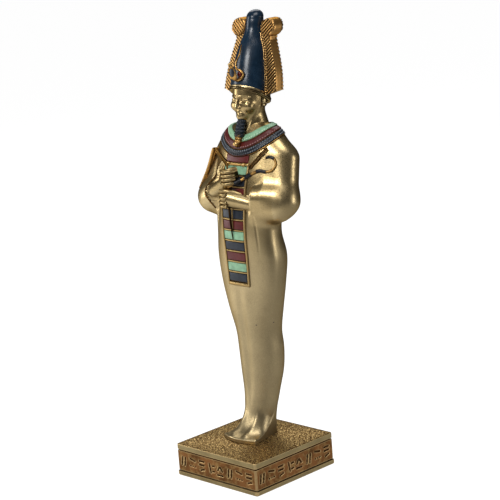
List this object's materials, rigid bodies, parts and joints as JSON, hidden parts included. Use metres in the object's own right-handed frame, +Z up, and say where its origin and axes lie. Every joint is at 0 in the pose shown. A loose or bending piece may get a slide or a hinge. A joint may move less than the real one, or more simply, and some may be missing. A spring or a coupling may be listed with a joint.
{
  "type": "osiris figurine",
  "caption": "Cast souvenir figurine of a standing mummiform Osiris with plumed crown, collar, crook and flail, on a square banded plinth.",
  "frame": {"origin": "middle of the plinth's underside", "axes": "+Z up to the crown, -Y the way the figure faces, +X the figure's left"},
  "size_m": [0.079, 0.0742, 0.292],
  "materials": {
    "figure_bronze": "satin antique bronze powder finish over cast resin, dark wash in the recesses",
    "plinth_bronze": "stippled brown bronze with brighter bands and dark incised strokes",
    "crown_blue": "glossy dark blue paint",
    "gilt": "bright orange gold paint with dark brown wash",
    "enamel_green": "mint green paint",
    "enamel_red": "maroon paint",
    "enamel_blue": "navy paint"
  },
  "bodies": {
    "root": {"figure": "figure_bronze", "plinth": "plinth_bronze"}
  },
  "joints": []
}
